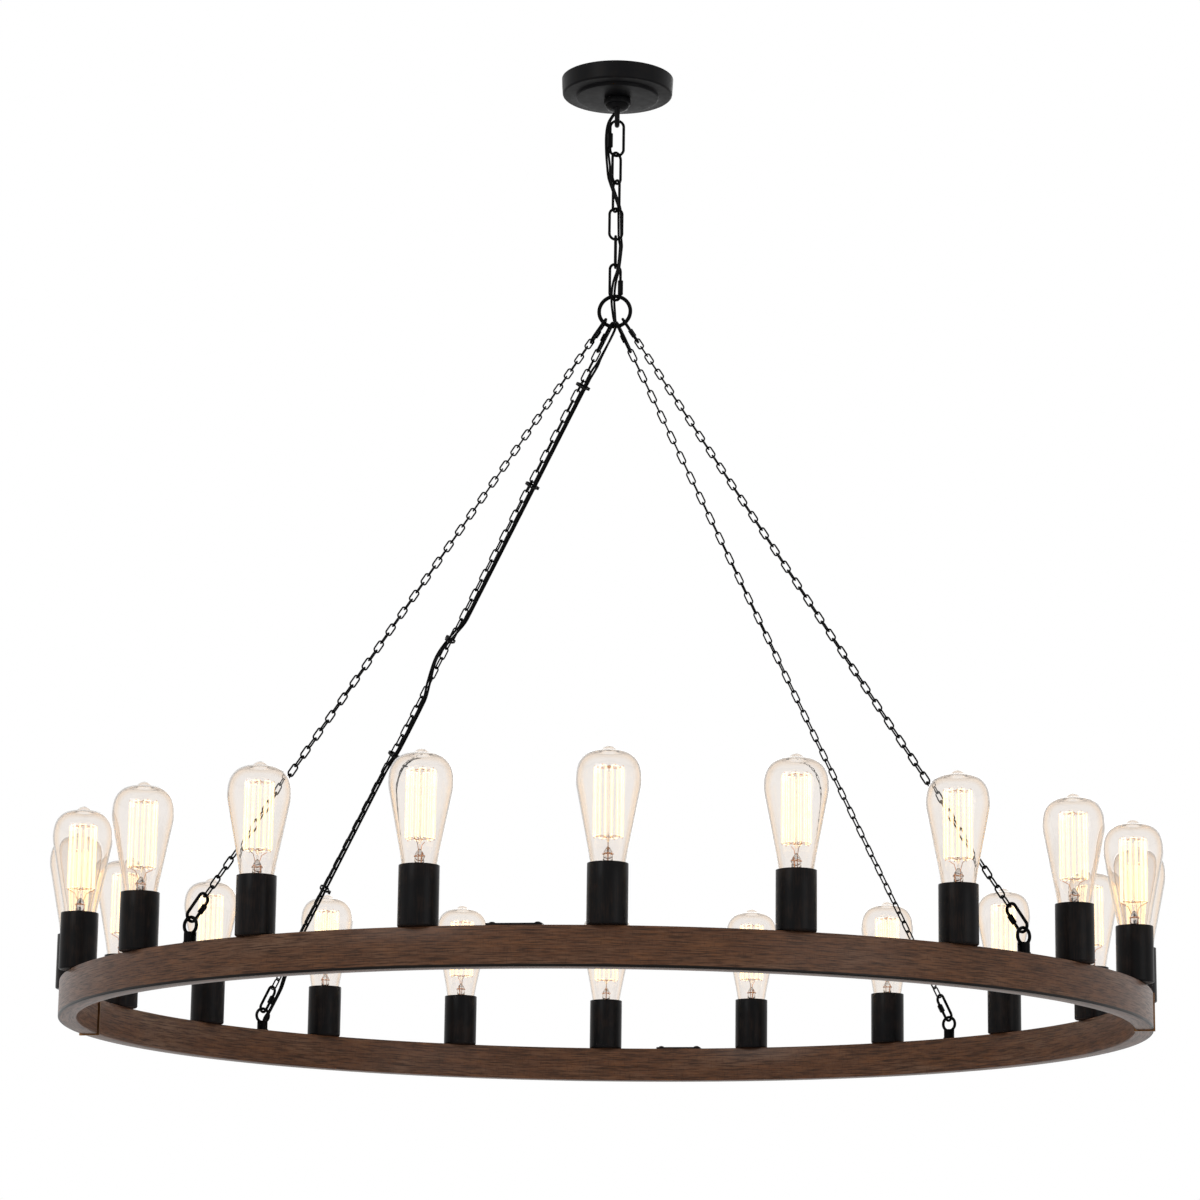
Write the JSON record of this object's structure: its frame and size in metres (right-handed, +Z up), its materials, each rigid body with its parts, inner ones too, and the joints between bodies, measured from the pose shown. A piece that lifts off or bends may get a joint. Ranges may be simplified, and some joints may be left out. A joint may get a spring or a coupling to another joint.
{
  "type": "wagon wheel chandelier",
  "caption": "Large round wheel chandelier with upright lamps on its rim, hung on four chains from a ring, a run of links and a round ceiling canopy.",
  "frame": {"origin": "ceiling plane at the centre of the canopy, on the crossbar's top face", "axes": "+Z up into the ceiling, +X along the crossbar to the right in the picture, -Y towards the viewer"},
  "size_m": [1.244, 1.244, 1.1125],
  "materials": {
    "zinc_steel": "zinc plated steel",
    "earth_green": "green earth screw",
    "brass_thread": "zinc-yellow threaded tube",
    "black_satin": "black satin powder coat, faint bronze on the edges",
    "black_chain": "black satin coat on steel wire",
    "wood_brown_finish": "wood-grain brown coat on steel tube, fine streaks along the rim",
    "bronze_plate": "dark bronze coat",
    "bronze_black": "brushed black bronze coat",
    "black_plastic": "black moulded plastic",
    "black_lead": "black insulated lead",
    "grey_wire": "insulated hook-up wire",
    "clear_bulb": "clear glass with a faint warm tint"
  },
  "bodies": {
    "root": {"crossbar": "zinc_steel", "earth_screw": "earth_green", "nipple": "brass_thread", "nipple_nut": "zinc_steel", "canopy_loop": "black_satin"},
    "canopy": {"canopy": "black_satin"},
    "collar": {"collar_ring": "black_satin"},
    "upper_quick_link": {"quick_link_upper": "black_chain"},
    "upper_nut": {"quick_sleeve_upper": "black_chain"},
    "link_1": {"link_1": "black_chain"},
    "link_2": {"link_2": "black_chain"},
    "link_3": {"link_3": "black_chain"},
    "link_4": {"link_4": "black_chain"},
    "lower_quick_link": {"quick_link_lower": "black_chain"},
    "lower_nut": {"quick_sleeve_lower": "black_chain"},
    "wheel": {"center_ring": "black_chain", "chain_back_right": "black_chain", "chain_back_left": "black_chain", "chain_front_left": "black_chain", "chain_front_right": "black_chain", "top_quick_links": "black_chain", "top_quick_sleeves": "black_chain", "foot_quick_links": "black_chain", "foot_quick_sleeves": "black_chain", "eye_bolts": "black_chain", "eye_couplings": "black_chain", "wheel_half_front": "wood_brown_finish", "wheel_half_back": "wood_brown_finish", "joint_plates": "bronze_plate", "splice_bars": "zinc_steel", "splice_screws": "bronze_black", "access_covers": "bronze_black", "cover_screws": "bronze_black", "socket_sleeves": "bronze_black", "lampholders": "black_plastic", "socket_nipples": "brass_thread", "power_cord": "black_lead", "earth_wire": "black_lead", "cable_ties": "black_plastic", "wheel_wiring": "grey_wire"},
    "bulb_01": {"bulb_01": "clear_bulb"},
    "bulb_02": {"bulb_02": "clear_bulb"},
    "bulb_03": {"bulb_03": "clear_bulb"},
    "bulb_04": {"bulb_04": "clear_bulb"},
    "bulb_05": {"bulb_05": "clear_bulb"},
    "bulb_06": {"bulb_06": "clear_bulb"},
    "bulb_07": {"bulb_07": "clear_bulb"},
    "bulb_08": {"bulb_08": "clear_bulb"},
    "bulb_09": {"bulb_09": "clear_bulb"},
    "bulb_10": {"bulb_10": "clear_bulb"},
    "bulb_11": {"bulb_11": "clear_bulb"},
    "bulb_12": {"bulb_12": "clear_bulb"},
    "bulb_13": {"bulb_13": "clear_bulb"},
    "bulb_14": {"bulb_14": "clear_bulb"},
    "bulb_15": {"bulb_15": "clear_bulb"},
    "bulb_16": {"bulb_16": "clear_bulb"},
    "bulb_17": {"bulb_17": "clear_bulb"},
    "bulb_18": {"bulb_18": "clear_bulb"},
    "bulb_19": {"bulb_19": "clear_bulb"},
    "bulb_20": {"bulb_20": "clear_bulb"}
  },
  "joints": [
    {"name": "canopy_slide", "type": "slide", "parent": "root", "child": "canopy", "axis": [0, 0, -1], "range_m": [0, 0.04]},
    {"name": "collar_slide", "type": "slide", "parent": "root", "child": "collar", "axis": [0, 0, -1], "range_m": [0, 0.04]},
    {"name": "upper_quick_swing", "type": "hinge", "parent": "root", "child": "upper_quick_link", "pos_m": [0, 0, -0.0556], "axis": [0, 1, 0], "range_deg": [-5, 5]},
    {"name": "upper_nut_slide", "type": "slide", "parent": "upper_quick_link", "child": "upper_nut", "axis": [0, 0, 1], "range_m": [0, 0.007]},
    {"name": "link_1_swing", "type": "hinge", "parent": "upper_quick_link", "child": "link_1", "pos_m": [0, 0, -0.09335], "axis": [1, 0, 0], "range_deg": [-6, 6]},
    {"name": "link_2_swing", "type": "hinge", "parent": "link_1", "child": "link_2", "pos_m": [0, 0, -0.1272], "axis": [-0.6428, -0.766, 0], "range_deg": [-6, 6]},
    {"name": "link_3_swing", "type": "hinge", "parent": "link_2", "child": "link_3", "pos_m": [0, 0, -0.1611], "axis": [0.5, -0.866, 0], "range_deg": [-6, 6]},
    {"name": "link_4_swing", "type": "hinge", "parent": "link_3", "child": "link_4", "pos_m": [0, 0, -0.195], "axis": [-0.9962, -0.0872, 0], "range_deg": [-6, 6]},
    {"name": "lower_quick_swing", "type": "hinge", "parent": "link_4", "child": "lower_quick_link", "pos_m": [0, 0, -0.2289], "axis": [0.0349, 0.9994, 0], "range_deg": [-6, 6]},
    {"name": "lower_nut_slide", "type": "slide", "parent": "lower_quick_link", "child": "lower_nut", "axis": [0, 0, 1], "range_m": [0, 0.0075]},
    {"name": "wheel_swing", "type": "hinge", "parent": "lower_quick_link", "child": "wheel", "pos_m": [0, 0, -0.26805], "axis": [-0.788, -0.6157, 0], "range_deg": [-6, 6], "deforming": ["power_cord", "earth_wire"]},
    {"name": "bulb_01_unscrew", "type": "slide", "parent": "wheel", "child": "bulb_01", "axis": [0, 0, 1], "range_m": [0, 0.025]},
    {"name": "bulb_02_unscrew", "type": "slide", "parent": "wheel", "child": "bulb_02", "axis": [0, 0, 1], "range_m": [0, 0.025]},
    {"name": "bulb_03_unscrew", "type": "slide", "parent": "wheel", "child": "bulb_03", "axis": [0, 0, 1], "range_m": [0, 0.025]},
    {"name": "bulb_04_unscrew", "type": "slide", "parent": "wheel", "child": "bulb_04", "axis": [0, 0, 1], "range_m": [0, 0.025]},
    {"name": "bulb_05_unscrew", "type": "slide", "parent": "wheel", "child": "bulb_05", "axis": [0, 0, 1], "range_m": [0, 0.025]},
    {"name": "bulb_06_unscrew", "type": "slide", "parent": "wheel", "child": "bulb_06", "axis": [0, 0, 1], "range_m": [0, 0.025]},
    {"name": "bulb_07_unscrew", "type": "slide", "parent": "wheel", "child": "bulb_07", "axis": [0, 0, 1], "range_m": [0, 0.025]},
    {"name": "bulb_08_unscrew", "type": "slide", "parent": "wheel", "child": "bulb_08", "axis": [0, 0, 1], "range_m": [0, 0.025]},
    {"name": "bulb_09_unscrew", "type": "slide", "parent": "wheel", "child": "bulb_09", "axis": [0, 0, 1], "range_m": [0, 0.025]},
    {"name": "bulb_10_unscrew", "type": "slide", "parent": "wheel", "child": "bulb_10", "axis": [0, 0, 1], "range_m": [0, 0.025]},
    {"name": "bulb_11_unscrew", "type": "slide", "parent": "wheel", "child": "bulb_11", "axis": [0, 0, 1], "range_m": [0, 0.025]},
    {"name": "bulb_12_unscrew", "type": "slide", "parent": "wheel", "child": "bulb_12", "axis": [0, 0, 1], "range_m": [0, 0.025]},
    {"name": "bulb_13_unscrew", "type": "slide", "parent": "wheel", "child": "bulb_13", "axis": [0, 0, 1], "range_m": [0, 0.025]},
    {"name": "bulb_14_unscrew", "type": "slide", "parent": "wheel", "child": "bulb_14", "axis": [0, 0, 1], "range_m": [0, 0.025]},
    {"name": "bulb_15_unscrew", "type": "slide", "parent": "wheel", "child": "bulb_15", "axis": [0, 0, 1], "range_m": [0, 0.025]},
    {"name": "bulb_16_unscrew", "type": "slide", "parent": "wheel", "child": "bulb_16", "axis": [0, 0, 1], "range_m": [0, 0.025]},
    {"name": "bulb_17_unscrew", "type": "slide", "parent": "wheel", "child": "bulb_17", "axis": [0, 0, 1], "range_m": [0, 0.025]},
    {"name": "bulb_18_unscrew", "type": "slide", "parent": "wheel", "child": "bulb_18", "axis": [0, 0, 1], "range_m": [0, 0.025]},
    {"name": "bulb_19_unscrew", "type": "slide", "parent": "wheel", "child": "bulb_19", "axis": [0, 0, 1], "range_m": [0, 0.025]},
    {"name": "bulb_20_unscrew", "type": "slide", "parent": "wheel", "child": "bulb_20", "axis": [0, 0, 1], "range_m": [0, 0.025]}
  ],
  "couplings": [
    {"joint": "collar_slide", "follows": "canopy_slide", "ratio": 1}
  ]
}
